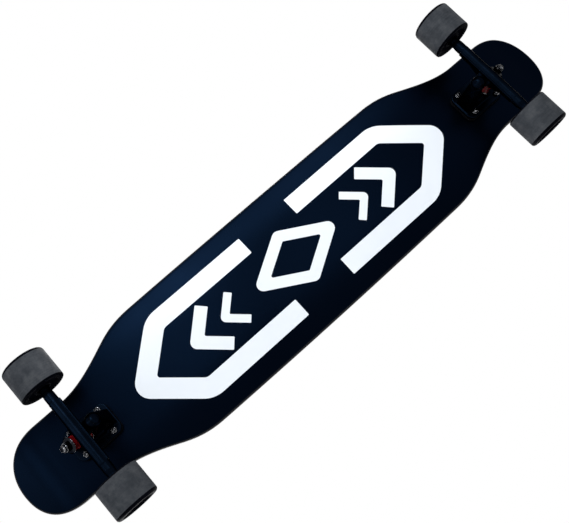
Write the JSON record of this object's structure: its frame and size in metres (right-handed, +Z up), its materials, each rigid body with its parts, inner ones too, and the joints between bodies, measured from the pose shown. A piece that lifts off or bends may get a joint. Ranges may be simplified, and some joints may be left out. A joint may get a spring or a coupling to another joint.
{
  "type": "longboard skateboard",
  "caption": "Long, wide skateboard with a symmetrical kicked deck, necks cut in beside the wheels, reverse-kingpin trucks and wide soft wheels.",
  "frame": {"origin": "on the ground, under the middle of the board", "axes": "+X to the front along the board, +Y to the board's left, +Z up"},
  "size_m": [1.17, 0.282, 0.1545],
  "materials": {
    "deck_lacquer": "laminated wood under glossy black lacquer with a navy sheen",
    "grip_grit": "fine black grit",
    "black_metal": "cast metal under satin black paint",
    "steel": "zinc-plated steel",
    "black_steel": "steel with a black oxide finish",
    "red_urethane": "cast red urethane",
    "grey_urethane": "matte dark grey urethane",
    "black_plastic": "matte black plastic"
  },
  "bodies": {
    "board": {"deck": "deck_lacquer", "grip_tape": "grip_grit", "front_riser_pad": "black_plastic", "front_baseplate": "black_metal", "front_bolt_inner_left": "black_steel", "front_nut_inner_left": "black_steel", "front_bolt_inner_right": "black_steel", "front_nut_inner_right": "black_steel", "front_bolt_outer_left": "black_steel", "front_nut_outer_left": "black_steel", "front_bolt_outer_right": "black_steel", "front_nut_outer_right": "black_steel", "front_pivot_cup": "black_plastic", "front_kingpin": "black_steel", "front_kingpin_nut": "black_steel", "front_boardside_washer": "black_steel", "front_boardside_bushing": "red_urethane", "front_roadside_washer": "black_steel", "front_roadside_bushing": "red_urethane", "rear_riser_pad": "black_plastic", "rear_baseplate": "black_metal", "rear_bolt_inner_left": "black_steel", "rear_nut_inner_left": "black_steel", "rear_bolt_inner_right": "black_steel", "rear_nut_inner_right": "black_steel", "rear_bolt_outer_left": "black_steel", "rear_nut_outer_left": "black_steel", "rear_bolt_outer_right": "black_steel", "rear_nut_outer_right": "black_steel", "rear_pivot_cup": "black_plastic", "rear_kingpin": "black_steel", "rear_kingpin_nut": "black_steel", "rear_boardside_washer": "black_steel", "rear_boardside_bushing": "red_urethane", "rear_roadside_washer": "black_steel", "rear_roadside_bushing": "red_urethane"},
    "front_hanger_set": {"front_hanger": "black_metal", "front_axle": "steel", "front_left_axle_nut": "steel", "front_right_axle_nut": "steel"},
    "front_left_wheel_set": {"front_left_wheel": "grey_urethane", "front_left_inner_bearing": "steel", "front_left_outer_bearing": "steel", "front_left_spacer": "steel"},
    "front_right_wheel_set": {"front_right_wheel": "grey_urethane", "front_right_inner_bearing": "steel", "front_right_outer_bearing": "steel", "front_right_spacer": "steel"},
    "rear_hanger_set": {"rear_hanger": "black_metal", "rear_axle": "steel", "rear_left_axle_nut": "steel", "rear_right_axle_nut": "steel"},
    "rear_left_wheel_set": {"rear_left_wheel": "grey_urethane", "rear_left_inner_bearing": "steel", "rear_left_outer_bearing": "steel", "rear_left_spacer": "steel"},
    "rear_right_wheel_set": {"rear_right_wheel": "grey_urethane", "rear_right_inner_bearing": "steel", "rear_right_outer_bearing": "steel", "rear_right_spacer": "steel"}
  },
  "joints": [
    {"name": "front_steer", "type": "hinge", "parent": "board", "child": "front_hanger_set", "pos_m": [0.45506, 0, 0.07801], "axis": [0.7071, 0, 0.7071], "range_deg": [-20, 20], "stiffness_Nm_per_rad": 30, "deforming": ["front_boardside_bushing", "front_roadside_bushing"]},
    {"name": "rear_steer", "type": "hinge", "parent": "board", "child": "rear_hanger_set", "pos_m": [-0.45506, 0, 0.07801], "axis": [0.7071, 0, -0.7071], "range_deg": [-20, 20], "stiffness_Nm_per_rad": 30, "deforming": ["rear_boardside_bushing", "rear_roadside_bushing"]},
    {"name": "front_left_wheel_spin", "type": "hinge", "parent": "front_hanger_set", "child": "front_left_wheel_set", "pos_m": [0.44, 0, 0.0365], "axis": [0, 1, 0], "continuous": true},
    {"name": "front_right_wheel_spin", "type": "hinge", "parent": "front_hanger_set", "child": "front_right_wheel_set", "pos_m": [0.44, 0, 0.0365], "axis": [0, 1, 0], "continuous": true},
    {"name": "rear_left_wheel_spin", "type": "hinge", "parent": "rear_hanger_set", "child": "rear_left_wheel_set", "pos_m": [-0.44, 0, 0.0365], "axis": [0, 1, 0], "continuous": true},
    {"name": "rear_right_wheel_spin", "type": "hinge", "parent": "rear_hanger_set", "child": "rear_right_wheel_set", "pos_m": [-0.44, 0, 0.0365], "axis": [0, 1, 0], "continuous": true}
  ]
}
